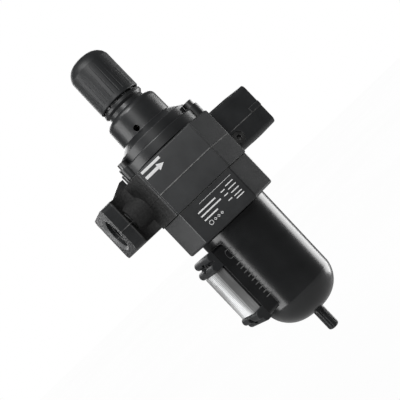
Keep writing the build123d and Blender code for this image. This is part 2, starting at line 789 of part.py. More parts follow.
with BuildPart() as bowl:
    with BuildSketch(Plane.XZ):
        with BuildLine():
            Line((0, bowl_foot), (foot_radius, bowl_foot))
            dome = ThreePointArc((foot_radius, bowl_foot), (30.4, 34.0), (bowl_body_radius - 0.8, bowl_dome))
            wall = Polyline(
                dome @ 1,
                (bowl_body_radius, head_bottom - 1.2),
                (bowl_body_radius - 0.6, head_bottom - 0.6),
                (bowl_radius, head_bottom - 0.6),
                (bowl_radius, bowl_neck_top),
                (bowl_radius - bowl_wall - 1.0, bowl_neck_top),
                (bowl_radius - bowl_wall - 1.0, head_bottom - 8.0),
                (bowl_radius - bowl_wall, head_bottom - 10.0),
                (bowl_radius - 0.8 - bowl_wall, bowl_dome),
            )
            ThreePointArc(wall @ 1, (26.8, 36.6), (foot_radius + 1.5, bowl_foot + foot_wall))
            Line((foot_radius + 1.5, bowl_foot + foot_wall), (0, bowl_foot + foot_wall))
            Line((0, bowl_foot + foot_wall), (0, bowl_foot))
        make_face()
    revolve(axis=Axis.Z)
    # sight-glass pad, then its window
    with BuildSketch(facing(sight_turn, reach=bowl_radius - 5.0)):
        with Locations((0, (sight_bottom + sight_top) / 2)):
            RectangleRounded(sight_width, sight_top - sight_bottom - 3.0, 3.0)
    extrude(amount=pad_face - bowl_radius + 5.0)
    with BuildSketch(Plane.XY.offset(bowl_dome)):
        Circle(bowl_radius - bowl_wall - 0.8)
    extrude(amount=head_bottom - 12.0 - bowl_dome, mode=Mode.SUBTRACT)
    with BuildSketch(facing(sight_turn, reach=bowl_radius - 12.0)):
        with Locations((0, (glass_bottom + glass_top) / 2)):
            RectangleRounded(window_width, glass_top - glass_bottom - 10.0, 5.0)
    extrude(amount=pad_face, mode=Mode.SUBTRACT)
    # drain hole, seal groove and bayonet lugs
    with BuildSketch(Plane.XY.offset(bowl_foot)):
        Circle(drain_hole)
    extrude(amount=foot_wall + 1.0, mode=Mode.SUBTRACT)
    with BuildSketch(Plane.XY.offset(bowl_groove - oring_radius - 0.1)):
        Circle(bowl_radius + 1.0)
        Circle(bowl_radius + 0.3 - 2 * oring_radius, mode=Mode.SUBTRACT)
    extrude(amount=2 * oring_radius + 0.2, mode=Mode.SUBTRACT)
    with BuildSketch(Plane.XY.offset(lug_bottom)):
        for lug in range(lug_count):
            middle = lug * 360 / lug_count + block_turn
            add(sector(bowl_radius - 1.0, bowl_radius + lug_reach, middle, lug_angle))
    extrude(amount=lug_height)
save(bowl, "bowl")

oring("bowl_oring", bowl_groove, bowl_radius + 0.3 - oring_radius)

# ---- sight glass --------------------------------------------------------------------------
gasket_thickness = 1.0
glass_back = pad_face + gasket_thickness
glass_middle = (glass_bottom + glass_top) / 2
glass_height = glass_top - glass_bottom

with BuildPart() as sight_gasket:
    with BuildSketch(facing(sight_turn, reach=pad_face)):
        with Locations((0, glass_middle)):
            RectangleRounded(glass_width, glass_height, 3.0)
            RectangleRounded(window_width, glass_height - 10.0, 5.0, mode=Mode.SUBTRACT)
    extrude(amount=gasket_thickness)
save(sight_gasket, "sight_gasket")

rib_count = 9
rib_pitch = glass_width / rib_count
with BuildPart() as sight_glass:
    with BuildSketch(facing(sight_turn, reach=glass_back)):
        with Locations((0, glass_middle)):
            Rectangle(glass_width, glass_height)
    extrude(amount=glass_face - glass_back)
    # prisms down the face
    with BuildSketch(level(glass_bottom, sight_turn)):
        for rib in range(rib_count + 1):
            with Locations(((rib - rib_count / 2) * rib_pitch, -glass_face)):
                Rectangle(1.4, 1.4, rotation=45)
    extrude(amount=glass_height, mode=Mode.SUBTRACT)
save(sight_glass, "sight_glass")

cap_face = glass_face + 1.5
knuckle_radius = 4.1
knuckle_reach = cap_face - knuckle_radius
knuckle_step = 3.2
screw_seat = pad_face + 2.2
sight_caps = (("sight_lower_cap", sight_bottom, glass_bottom), ("sight_upper_cap", glass_top, sight_top))
for name, low, high in sight_caps:
    middle = (low + high) / 2
    inset = knuckle_radius + 0.2
    near_glass, away = (high - inset, low + inset) if high == glass_bottom else (low + inset, high - inset)
    with BuildPart() as cap:
        with BuildSketch(side_on(sight_turn)):
            with Locations((pad_face, middle)):
                from_pad = (Align.MIN, Align.CENTER)
                Rectangle(knuckle_reach - knuckle_step - pad_face, high - low - 0.4, align=from_pad)
            with Locations((pad_face, near_glass)):
                Rectangle(knuckle_reach - pad_face, 2 * knuckle_radius, align=from_pad)
            with Locations((knuckle_reach, near_glass), (knuckle_reach - knuckle_step, away)):
                Circle(knuckle_radius)
        extrude(amount=sight_width / 2 + 0.5, both=True)
        chamfer(cap.edges().filter_by(GeomType.CIRCLE), 0.6)
        for seat, radius in ((pad_face, 2.2), (screw_seat, 4.2)):
            with BuildSketch(facing(sight_turn, reach=seat)):
                with Locations((0, middle)):
                    Circle(radius)
            extrude(amount=cap_face, mode=Mode.SUBTRACT)
    save(cap, name)

with BuildPart() as sight_screws:
    for low, high in ((sight_bottom, glass_bottom), (glass_top, sight_top)):
        middle = (low + high) / 2
        with BuildSketch(facing(sight_turn, reach=screw_seat)):
            with Locations((0, middle)):
                Circle(3.8)
        extrude(amount=3.5)
        with BuildSketch(facing(sight_turn, reach=screw_seat + 3.5)):
            with Locations((0, middle)):
                RegularPolygon(1.5, 6, major_radius=False)
        extrude(amount=-1.8, mode=Mode.SUBTRACT)
        with BuildSketch(facing(sight_turn, reach=pad_face)):
            with Locations((0, middle)):
                Circle(2.0)
        extrude(amount=screw_seat - pad_face)
save(sight_screws, "sight_screws")

# ---- drain --------------------------------------------------------------------------------
body_floor = bowl_foot + foot_wall + 1.0
standpipe_radius = 5.0
float_bottom = body_floor + 26.0
float_height = 28.0
standpipe_top = rod_bottom - 3.0

with BuildPart() as drain_seal:
    with BuildSketch(Plane.XY.offset(bowl_foot + foot_wall)):
        Circle(9.5)
        Circle(drain_hole, mode=Mode.SUBTRACT)
    extrude(amount=1.0)
save(drain_seal, "drain_seal")

with BuildPart() as drain_body:
    with BuildSketch(Plane.XY.offset(bowl_foot)):
        Circle(drain_hole - 0.1)
    extrude(amount=foot_wall + 1.0)
    with BuildSketch(Plane.XY.offset(body_floor)):
        Circle(9.5)
    extrude(amount=float_bottom - body_floor - 6.0)
    with BuildSketch(Plane.XY.offset(float_bottom - 6.0)):
        Circle(standpipe_radius + 3.0)
    extrude(amount=6.0)
    with BuildSketch(Plane.XY.offset(float_bottom)):
        Circle(standpipe_radius)
    extrude(amount=standpipe_top - float_bottom)
    with BuildSketch(Plane.XY.offset(bowl_foot)):
        Circle(4.2 + fit)
    extrude(amount=8.0, mode=Mode.SUBTRACT)
    with BuildSketch(Plane.XY.offset(bowl_foot)):
        Circle(1.5)
    extrude(amount=standpipe_top - bowl_foot, mode=Mode.SUBTRACT)
save(drain_body, "drain_body")

with BuildPart() as drain_float:
    with BuildSketch(Plane.XY.offset(float_bottom)):
        Circle(20.0)
        Circle(standpipe_radius + 0.1, mode=Mode.SUBTRACT)
    extrude(amount=float_height)
    fillet(drain_float.edges().filter_by(GeomType.CIRCLE).group_by(SortBy.RADIUS)[-1], 3.0)
save(drain_float, "drain_float")

stem_flutes = 12
with BuildPart() as drain_stem:
    with BuildSketch(Plane.XY):
        Circle(stem_radius)
    extrude(amount=bowl_foot - 0.4)
    fillet(drain_stem.edges().group_by(Axis.Z)[0], 2.6)
    with BuildSketch(Plane.XY.offset(1.5)):
        with PolarLocations(stem_radius + 0.25, stem_flutes):
            Circle(0.85)
    extrude(amount=bowl_foot - 5.0, mode=Mode.SUBTRACT)
    with BuildSketch(Plane.XY.offset(bowl_foot - 0.4)):
        Circle(4.2)
    extrude(amount=7.0)
    with BuildSketch(Plane.XY):
        Circle(drain_bore)
    extrude(amount=20.0, mode=Mode.SUBTRACT)
    with BuildSketch(Plane.XY):
        Circle(1.5)
    extrude(amount=bowl_foot + 8.0, mode=Mode.SUBTRACT)
save(drain_stem, "drain_stem")
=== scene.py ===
import json
import math

import bpy
from mathutils import Matrix, Vector

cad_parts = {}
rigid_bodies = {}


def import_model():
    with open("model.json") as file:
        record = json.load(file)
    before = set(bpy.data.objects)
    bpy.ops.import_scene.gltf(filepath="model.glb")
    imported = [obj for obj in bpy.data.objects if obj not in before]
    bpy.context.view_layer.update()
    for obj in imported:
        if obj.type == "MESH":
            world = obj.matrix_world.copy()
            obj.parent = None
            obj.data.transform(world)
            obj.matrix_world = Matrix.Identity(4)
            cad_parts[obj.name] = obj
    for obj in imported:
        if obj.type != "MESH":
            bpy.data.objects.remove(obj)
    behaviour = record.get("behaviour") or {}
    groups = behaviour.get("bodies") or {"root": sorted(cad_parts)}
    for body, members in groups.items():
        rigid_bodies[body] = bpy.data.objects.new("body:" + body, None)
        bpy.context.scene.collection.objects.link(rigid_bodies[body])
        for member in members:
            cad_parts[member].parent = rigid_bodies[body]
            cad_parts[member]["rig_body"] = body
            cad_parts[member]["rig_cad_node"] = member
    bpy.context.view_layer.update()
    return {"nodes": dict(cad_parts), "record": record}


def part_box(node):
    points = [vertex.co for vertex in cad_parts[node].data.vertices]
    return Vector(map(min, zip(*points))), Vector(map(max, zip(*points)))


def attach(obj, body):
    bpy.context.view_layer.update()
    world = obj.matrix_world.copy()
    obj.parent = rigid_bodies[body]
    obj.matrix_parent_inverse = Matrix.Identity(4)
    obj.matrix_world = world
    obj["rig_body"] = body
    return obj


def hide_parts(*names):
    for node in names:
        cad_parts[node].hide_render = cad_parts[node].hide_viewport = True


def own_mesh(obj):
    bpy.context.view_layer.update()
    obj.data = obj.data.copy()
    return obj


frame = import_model()

# ---- places, in metres ---------------------------------------------------------------------
MM = 0.001
PORT = next(m for m in frame["record"]["mounts"] if m["name"] == "inlet_port")
PORT_HEIGHT = PORT["pos_m"][2]
PORT_RADIUS = PORT["dims"]["r_mm"] * MM
PORT_LENGTH = PORT["dims"]["length_mm"] * MM
PORT_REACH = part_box("yoke")[1][0]
SEAM_HEIGHT = PORT_HEIGHT - 3.0 * MM
BLOCK_TURN = math.radians(-22.5)
BLOCK_HALF = 52.0 * MM
HEAD_HALF = 51.0 * MM
BOWL_RADIUS = 39.4 * MM
SIGHT_TURN = math.radians(-82.5)
HOLLOW_X, HOLLOW_Y, HOLLOW_RADIUS = 66.0 * MM, 25.0 * MM, 17.5 * MM
BOWL_MARK_TURN = math.radians(-54.0)
YOKE_BORE = 40.0 * MM
SEAM_LINE = 0.08 * MM
MOUTH_RADIUS = 17.8 * MM
MOUTH_DEPTH = 2.6 * MM
PRISM_PITCH = 3.11 * MM
FINE_PRISM_PITCH = 0.74 * MM
GLASS_HALF = 12.0 * MM
GLASS_BOTTOM = 68.0 * MM


# ---- shader arithmetic ----------------------------------------------------------------------
class Value:
    """A shader socket that takes part in arithmetic."""

    def __init__(self, graph, socket):
        self.graph = graph
        self.socket = socket

    def maths(self, operation, first, second=0.0, clamp=False):
        settings = {"operation": operation, "use_clamp": clamp}
        return self.graph.node("ShaderNodeMath", settings, {0: first, 1: second})

    def __add__(self, other):
        return self.maths("ADD", self, other)

    def __radd__(self, other):
        return self.maths("ADD", other, self)

    def __sub__(self, other):
        return self.maths("SUBTRACT", self, other)

    def __rsub__(self, other):
        return self.maths("SUBTRACT", other, self)

    def __mul__(self, other):
        return self.maths("MULTIPLY", self, other)

    def __rmul__(self, other):
        return self.maths("MULTIPLY", other, self)

    def __truediv__(self, other):
        return self.maths("DIVIDE", self, other)

    def __abs__(self):
        return self.maths("ABSOLUTE", self)

    def clamp(self):
        return self.maths("ADD", self, 0.0, clamp=True)

    def sine(self):
        return self.maths("SINE", self)

    def root(self):
        return self.maths("SQRT", self)

    def above(self, limit, softness):
        """0 below the limit, rising to 1 over the softness."""
        return ((self - limit) / softness).clamp()


class Graph:
    """One material's nodes, read in the frame's own coordinates."""

    def __init__(self, name):
        self.material = bpy.data.materials.new(name)
        self.material.use_nodes = True
        self.tree = self.material.node_tree
        self.tree.nodes.clear()
        self.place = self.node("ShaderNodeTexCoord", {}, {}, "Object")
        split = self.place_of("ShaderNodeSeparateXYZ", {0: self.place})
        self.x = Value(self, split.outputs[0])
        self.y = Value(self, split.outputs[1])
        self.z = Value(self, split.outputs[2])

    def place_of(self, kind, inputs, settings=None):
        """Adds a node, sets it and links its inputs."""
        made = self.tree.nodes.new(kind)
        for key, value in (settings or {}).items():
            setattr(made, key, value)
        for key, value in inputs.items():
            socket = made.inputs[key]
            if isinstance(value, Value):
                self.tree.links.new(value.socket, socket)
            else:
                socket.default_value = value
        return made

    def node(self, kind, settings, inputs, output=0):
        return Value(self, self.place_of(kind, inputs, settings).outputs[output])

    def noise(self, scale, detail=3.0, roughness=0.5, stretch=None):
        """Noise of about 1 / scale metres; stretch scales its three directions."""
        place = self.place
        if stretch:
            place = self.node("ShaderNodeMapping", {}, {"Vector": self.place, "Scale": stretch})
        inputs = {"Vector": place, "Scale": scale, "Detail": detail, "Roughness": roughness}
        return self.node("ShaderNodeTexNoise", {}, inputs, "Fac")

    def cells(self, scale):
        inputs = {"Vector": self.place, "Scale": scale}
        return self.node("ShaderNodeTexVoronoi", {}, inputs, "Distance")

    def mix(self, factor, first, second):
        """Blend of two colours."""
        inputs = {0: factor, 6: first, 7: second}
        return self.node("ShaderNodeMix", {"data_type": "RGBA"}, inputs, 2)

    def edges(self, radius):
        """1 on sharp edges, 0 on flats, and the rounded normal."""
        rounded = self.node("ShaderNodeBevel", {"samples": 6}, {"Radius": radius}, "Normal")
        flat = self.node("ShaderNodeNewGeometry", {}, {}, "Normal")
        same = self.node("ShaderNodeVectorMath", {"operation": "DOT_PRODUCT"},
                         {0: rounded, 1: flat}, "Value")
        return ((1.0 - same) * 9.0).clamp(), rounded

    def bump(self, height, strength, distance, normal=None):
        inputs = {"Height": height, "Strength": strength, "Distance": distance}
        if normal:
            inputs["Normal"] = normal
        return self.node("ShaderNodeBump", {}, inputs)

    def finish(self, **inputs):
        """Principled surface; an input's name has its spaces as underscores."""
        named = {key.replace("_", " "): value for key, value in inputs.items()}
        shader = self.node("ShaderNodeBsdfPrincipled", {}, named)
        self.place_of("ShaderNodeOutputMaterial", {"Surface": shader})
        return self.material


def grey(level, warmth=0.0):
    return (level * (1 + warmth), level, level * (1 - warmth), 1.0)


# ---- materials ------------------------------------------------------------------------------
def black_paint(name, gloss=0.3, tone=0.013, wear=0.5, seam=False, hollows=False):
    """Black paint on a casting: orange peel, dust, handling marks and wear along the edges, and painted
    shade in the hollows.
    """
    g = Graph(name)
    edge, rounded = g.edges(0.7 * MM)
    patches = g.noise(38.0, 4.0, 0.6)
    peel = g.noise(1100.0, 2.0)
    dust = g.noise(5200.0, 2.0, 0.7)
    speck = g.noise(900.0, 3.0, 0.65)
    chip = edge * (speck + patches * 0.5).above(0.66, 0.14) * wear
    paint = g.mix(patches.above(0.35, 0.4), grey(tone * 0.75, -0.08), grey(tone * 1.5, -0.06))
    paint = g.mix(dust.above(0.66, 0.2) * 0.1, paint, grey(0.08))
    colour = g.mix(chip, paint, grey(0.2, 0.02))
    rough = gloss + patches * 0.1 + dust * 0.05 + chip * 0.25
    height = peel * 0.5 + dust * 0.12
    if seam:
        outside = (g.x * g.x + g.y * g.y).root().above(YOKE_BORE, 1.0 * MM)
        line = (1.0 - abs(g.z - SEAM_HEIGHT).above(SEAM_LINE, 0.22 * MM)) * outside
        line = line * g.noise(240.0, 3.0).above(0.32, 0.3) * 0.8
        colour = g.mix(line, colour, grey(0.3, 0.01))
        ring = ((g.y * g.y) + (g.z - PORT_HEIGHT) * (g.z - PORT_HEIGHT)).root()
        deep = abs(g.x).above(PORT_REACH - MOUTH_DEPTH, 0.3 * MM)
        mouth = deep * (1.0 - ring.above(MOUTH_RADIUS, 0.6 * MM))
        rubbed = mouth * patches.above(0.25, 0.3)
        face = abs(g.x).above(PORT_REACH - 0.2 * MM, 0.1 * MM)
        rim = face * edge
        dull = g.mix(patches, grey(0.075, -0.02), grey(0.14, -0.01))
        colour = g.mix((mouth * 0.6 + rubbed * 0.4).clamp(), colour, dull)
        colour = g.mix(rim * 0.5, colour, grey(0.3, 0.01))
    if hollows:
        same_side = (g.x * g.y).above(0.0, 0.0001)
        across = abs(g.x) - HOLLOW_X
        along = abs(g.y) - HOLLOW_Y
        reach = (across * across + along * along).root()
        inside = same_side * (1.0 - reach.above(HOLLOW_RADIUS, 1.2 * MM))
        pits = g.noise(420.0, 5.0, 0.7)
        shade_and_crust = pits.above(0.42, 0.2)
        # painted shade: the hollows are darkened almost to black, with a rough crust pattern of
        # near-black tones
        colour = g.mix(inside * 0.95, colour, g.mix(shade_and_crust, grey(0.001), grey(0.014)))
        rough = rough + inside * 0.25
        height = height + inside * pits * 16.0
    normal = g.bump(height, 0.32, 0.12 * MM, rounded)
    return g.finish(Base_Color=colour, Roughness=rough.clamp(), Normal=normal, Specular_IOR_Level=0.55,
                    Coat_Weight=0.18, Coat_Roughness=0.16)


def black_moulding(name, gloss=0.36, tone=0.014, lines=0.0):
    """Moulded black plastic with a fine spark texture; lines adds faint marks round the axis."""
    g = Graph(name)
    edge, rounded = g.edges(0.5 * MM)
    spark = g.noise(2600.0, 3.0, 0.6)
    patches = g.noise(60.0, 3.0)
    streaks = g.noise(130.0, 3.0, 0.6, (1.0, 1.0, 0.25))
    colour = g.mix(patches, grey(tone * 0.7, -0.1), grey(tone * 1.5, -0.06))
    colour = g.mix(edge * spark.above(0.4, 0.25) * 0.4, colour, grey(0.09))
    rough = gloss + streaks * 0.14 + spark * 0.06
    height = spark + lines * (g.z * 2200.0).sine()
    normal = g.bump(height, 0.2, 0.04 * MM, rounded)
    return g.finish(Base_Color=colour, Roughness=rough.clamp(), Normal=normal, Specular_IOR_Level=0.5)


def bare_metal(name, colour, dark, rough, scratch=(1.0, 1.0, 14.0)):
    """Machined or plated metal with turning marks and tarnish."""
    g = Graph(name)
    edge, rounded = g.edges(0.35 * MM)
    marks = g.noise(700.0, 3.0, 0.6, scratch)
    tarnish = g.noise(150.0, 4.0, 0.65)
    tint = g.mix(tarnish.above(0.4, 0.35), colour, dark)
    tint = g.mix(edge * 0.5, tint, colour)
    level = rough + tarnish * 0.16 + marks * 0.12
    normal = g.bump(marks, 0.28, 0.05 * MM, rounded)
    return g.finish(Base_Color=tint, Metallic=1.0, Roughness=level.clamp(), Normal=normal)


def black_rubber(name):
    g = Graph(name)
    grain = g.noise(1800.0, 4.0, 0.6)
    bloom = g.noise(90.0, 3.0)
    colour = g.mix(bloom.above(0.45, 0.3), grey(0.014), grey(0.04))
    normal = g.bump(grain, 0.35, 0.08 * MM)
    return g.finish(Base_Color=colour, Roughness=0.62 + grain * 0.2, Normal=normal)


def sintered(name):
    """Filter tube of bonded granules."""
    g = Graph(name)
    granules = g.cells(1500.0)
    stain = g.noise(45.0, 4.0)
    colour = g.mix(granules.above(0.1, 0.6), grey(0.84, 0.02), grey(0.5, 0.03))
    colour = g.mix(stain.above(0.55, 0.25) * 0.4, colour, (0.55, 0.47, 0.32, 1.0))
    normal = g.bump(granules, 0.8, 0.3 * MM)
    return g.finish(Base_Color=colour, Roughness=0.8 + stain * 0.1, Normal=normal)


def float_foam(name):
    g = Graph(name)
    skin = g.noise(800.0, 4.0, 0.6)
    pores = g.cells(900.0)
    colour = g.mix(skin, grey(0.72, 0.03), grey(0.86, 0.02))
    normal = g.bump(pores + skin, 0.4, 0.1 * MM)
    return g.finish(Base_Color=colour, Roughness=0.5 + skin * 0.2, Normal=normal)


def pressed_glass(name):
    """Prismatic gauge glass with painted reflection: silvery where its prisms would turn the light back,
    with lines down its length.
    """
    g = Graph(name)
    across = g.x * math.cos(SIGHT_TURN) + g.y * math.sin(SIGHT_TURN)
    prisms = (across * (2 * math.pi / PRISM_PITCH)).sine() * 0.5 + 0.5
    fine = (across * (2 * math.pi / FINE_PRISM_PITCH)).sine() * 0.5 + 0.5
    streaks = g.noise(260.0, 3.0, 0.6, (1.0, 1.0, 0.12))
    # painted reflection: the colour is light along the prism lines and streaks, in the middle and towards
    # the lower end, and dark at the sides
    middle = (1.0 - abs(across) / GLASS_HALF).clamp()
    lower_end = (1.0 - g.z.above(GLASS_BOTTOM, 30.0 * MM)) * 0.5
    light = (prisms * 0.5 + fine * 0.3 + streaks.above(0.45, 0.25) * 0.4 + lower_end) * (0.3 + middle)
    colour = g.mix(light.clamp(), grey(0.1, 0.01), grey(1.0, -0.01))
    normal = g.bump(fine * 0.5 + streaks, 0.25, 0.1 * MM)
    return g.finish(Base_Color=colour, Roughness=0.06 + streaks * 0.1, Normal=normal, IOR=1.5,
                    Transmission_Weight=0.1, Specular_IOR_Level=0.7, Coat_Weight=0.5, Coat_Roughness=0.03)


def print_ink(name, level):
    """Screen-printed ink, thin in places."""
    g = Graph(name)
    thin = g.noise(1400.0, 3.0, 0.6)
    colour = g.mix(thin.above(0.35, 0.3), grey(level * 0.72), grey(level))
    return g.finish(Base_Color=colour, Roughness=0.5 + thin * 0.15, Normal=g.bump(thin, 0.2, 0.03 * MM))


def stage_white(name):
    """Pale sheet that shows white and throws little light back at the object."""
    g = Graph(name)
    cloud = g.noise(1.2, 3.0)
    pale = g.mix(cloud, grey(0.97), grey(1.0))
    matt = g.node("ShaderNodeBsdfDiffuse", {}, {"Color": grey(0.5), "Roughness": 0.9})
    white = g.node("ShaderNodeEmission", {}, {"Color": pale, "Strength": 1.0})
    seen = g.node("ShaderNodeLightPath", {}, {}, "Is Camera Ray")
    surface = g.node("ShaderNodeMixShader", {}, {0: seen, 1: matt, 2: white})
    g.place_of("ShaderNodeOutputMaterial", {"Surface": surface})
    return g.material


yoke_paint = black_paint("yoke_paint", gloss=0.34, tone=0.016, wear=0.55, seam=True, hollows=True)
casting_paint = black_paint("casting_paint", gloss=0.3, tone=0.013, wear=0.4)
bowl_paint = black_paint("bowl_paint", gloss=0.17, tone=0.008, wear=0.25)
knob_moulding = black_moulding("knob_moulding", gloss=0.36, tone=0.014, lines=0.1)
stem_moulding = black_moulding("stem_moulding", gloss=0.22, tone=0.012)
inner_moulding = black_moulding("inner_moulding", gloss=0.42, tone=0.014)
black_steel = bare_metal("black_steel", grey(0.16), grey(0.05), 0.28)
bright_steel = bare_metal("bright_steel", grey(0.62), grey(0.4, 0.04), 0.22)
machined_brass = bare_metal("machined_brass", (0.8, 0.6, 0.3, 1), (0.5, 0.34, 0.16, 1), 0.2)
zinc_wire = bare_metal("zinc_wire", grey(0.6, 0.01), grey(0.38, 0.03), 0.3, (1.0, 1.0, 1.0))
seal_rubber = black_rubber("seal_rubber")
filter_tube = sintered("filter_tube")
float_skin = float_foam("float_skin")
gauge_glass = pressed_glass("gauge_glass")
white_ink = print_ink("white_ink", 0.8)
grey_ink = print_ink("grey_ink", 0.12)

FINISHES = {
    yoke_paint: ["yoke"],
    casting_paint: ["head", "bonnet", "knob_collar"],
    bowl_paint: ["bowl"],
    knob_moulding: ["adjusting_knob", "knob_cap"],
    stem_moulding: ["drain_stem"],
    inner_moulding: ["deflector", "baffle", "drain_body", "sight_lower_cap", "sight_upper_cap"],
    black_steel: ["bonnet_screws", "head_screws", "front_gauge_plug", "rear_gauge_plug", "sight_screws"],
    bright_steel: ["adjusting_screw", "knob_screw", "tie_rod", "lower_spring_rest"],
    machined_brass: ["valve_poppet", "valve_pin", "valve_guide", "spring_nut", "thrust_washer",
                     "diaphragm_plate"],
    zinc_wire: ["range_spring", "valve_spring"],
    seal_rubber: ["diaphragm", "lower_yoke_oring", "upper_yoke_oring", "bowl_oring", "poppet_seal",
                  "drain_seal", "sight_gasket", "element_gasket"],
    filter_tube: ["filter_element"],
    float_skin: ["drain_float"],
    gauge_glass: ["sight_glass"],
}
for finish, names in FINISHES.items():
    for name in names:
        for slot in frame["nodes"][name].material_slots:
            slot.material = finish


# ---- modelling helpers ----------------------------------------------------------------------
def select_only(piece):
    bpy.ops.object.select_all(action="DESELECT")
    piece.select_set(True)
    bpy.context.view_layer.objects.active = piece


def settle(piece):
    """Puts the piece's place into its mesh, with its object at the origin."""
    select_only(piece)
    bpy.ops.object.transform_apply(location=True, rotation=True, scale=True)


def modify(piece, kind, **settings):
    """Adds a modifier and applies it."""
    select_only(piece)
    modifier = piece.modifiers.new(kind.lower(), kind)
    for key, value in settings.items():
        setattr(modifier, key, value)
    bpy.ops.object.modifier_apply(modifier=modifier.name)


def wall_frame(turn, reach, height):
    """Frame on an upright wall: local X across, local Y up, local Z outwards."""
    outward = Vector((math.sin(turn), -math.cos(turn), 0))
    across = Vector((math.cos(turn), math.sin(turn), 0))
    up = Vector((0, 0, 1))
    turned = Matrix((across, up, outward)).transposed().to_4x4()
    return Matrix.Translation(outward * reach + up * height) @ turned


def join(pieces, name):
    bpy.ops.object.select_all(action="DESELECT")
    for piece in pieces:
        piece.select_set(True)
    bpy.context.view_layer.objects.active = pieces[0]
    bpy.ops.object.join()
    pieces[0].name = name
    return pieces[0]


def finish_piece(piece, material, body):
    piece.data.materials.clear()
    piece.data.materials.append(material)
    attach(piece, body)


# ---- prints: flat shapes laid on a surface --------------------------------------------------
INK = 0.06 * MM
LIFT = 4.0 * MM
BAR_CUTS = 6


def spread(wall, across, up, width, height):
    """Place and size of a unit shape before a wall."""
    return wall @ Matrix.Translation((across, up, LIFT)) @ Matrix.Diagonal((width, height, 1, 1))


def bar(wall, across, up, width, height):
    """Flat bar before a wall, divided so that it can follow a curve."""
    bpy.ops.object.select_all(action="DESELECT")
    bpy.ops.mesh.primitive_plane_add(size=1)
    flat = bpy.context.object
    bpy.ops.object.mode_set(mode="EDIT")
    bpy.ops.mesh.subdivide(number_cuts=BAR_CUTS)
    bpy.ops.object.mode_set(mode="OBJECT")
    flat.matrix_world = spread(wall, across, up, width, height)
    settle(flat)
    return flat


def ring(wall, across, up, radius, width, sides=48):
    """Flat ring before a wall."""
    bpy.ops.object.select_all(action="DESELECT")
    bpy.ops.mesh.primitive_circle_add(vertices=sides, radius=1, fill_type="NGON")
    flat = bpy.context.object
    bpy.ops.object.mode_set(mode="EDIT")
    bpy.ops.mesh.select_all(action="SELECT")
    bpy.ops.mesh.inset(thickness=width / radius, depth=0)
    bpy.ops.mesh.delete(type="FACE")
    bpy.ops.object.mode_set(mode="OBJECT")
    flat.matrix_world = spread(wall, across, up, radius, radius)
    settle(flat)
    return flat


def pointer(wall, across, up, length, height):
    """Flat triangle pointing across the wall; a unit triangle is 1.5 long and sqrt(3) high."""
    bpy.ops.object.select_all(action="DESELECT")
    bpy.ops.mesh.primitive_circle_add(vertices=3, radius=1, rotation=(0, 0, -math.pi / 2),
                                      fill_type="NGON")
    flat = bpy.context.object
    settle(flat)
    flat.matrix_world = spread(wall, across, up, length / 1.5, height / math.sqrt(3))
    settle(flat)
    bpy.ops.object.mode_set(mode="EDIT")
    bpy.ops.mesh.subdivide(number_cuts=2)
    bpy.ops.object.mode_set(mode="OBJECT")
    return flat


def lay(flats, name, node, material, body):
    """Lays flat shapes on a node's surface and gives them the ink's thickness."""
    piece = join(flats, name)
    modify(piece, "SHRINKWRAP", target=frame["nodes"][node], wrap_method="NEAREST_SURFACEPOINT",
           wrap_mode="OUTSIDE_SURFACE", offset=INK)
    modify(piece, "SOLIDIFY", thickness=INK * 0.8, offset=-1)
    finish_piece(piece, material, body)


def panel_print():
    """Flow arrow under a bar, at the upper left of the front panel."""
    wall = wall_frame(BLOCK_TURN, BLOCK_HALF, PORT_HEIGHT)
    flats = [
        bar(wall, -19.0 * MM, 22.6 * MM, 22.0 * MM, 2.6 * MM),
        bar(wall, -22.5 * MM, 16.5 * MM, 15.0 * MM, 3.0 * MM),
        pointer(wall, -13.0 * MM, 16.5 * MM, 7.0 * MM, 7.0 * MM),
    ]
    lay(flats, "panel_print", "yoke", white_ink, "root")


def head_print():
    """Blank data label: a heading line, ruled rows, a ring and three small squares."""
    wall = wall_frame(BLOCK_TURN, HEAD_HALF, 0.0)
    left_margin, line = -18.0, 0.45 * MM
    thick, thin = 1.3 * MM, 0.9 * MM
    symbols = 154.4 * MM
    flats = [bar(wall, 8.0 * MM, 174.0 * MM, 38.0 * MM, 0.35 * MM)]
    for height, width in ((168.2, 21.0), (164.0, 24.0), (159.4, 16.0)):
        flats.append(bar(wall, (left_margin + width / 2) * MM, height * MM, width * MM, thick))
    for height in (169.5, 165.5, 161.5, 157.5, 154.5):
        flats.append(bar(wall, 21.0 * MM, height * MM, 9.0 * MM, thin))
    for height in (168.0, 163.5, 158.0):
        flats.append(bar(wall, 12.0 * MM, height * MM, 4.5 * MM, thin))
    flats.append(ring(wall, -14.5 * MM, symbols, 2.2 * MM, line))
    for across in (-9.5, -5.5, -1.5):
        flats.append(ring(wall, across * MM, symbols, 1.5 * MM, line, sides=4))
    lay(flats, "head_print", "head", white_ink, "root")


def bowl_print():
    """Grey ring over a column of level marks down the bowl."""
    wall = wall_frame(BOWL_MARK_TURN, BOWL_RADIUS, 0.0)
    top_mark, mark_pitch, mark_count = 110.0, 5.0, 9
    flats = [ring(wall, 0.0, 122.0 * MM, 4.6 * MM, 0.7 * MM)]
    for step in range(mark_count):
        width = 5.4 * MM if step % 2 == 0 else 3.6 * MM
        flats.append(bar(wall, 0.0, (top_mark - mark_pitch * step) * MM, width, 1.0 * MM))
    lay(flats, "bowl_print", "bowl", grey_ink, "bowl_unit")


panel_print()
head_print()
bowl_print()


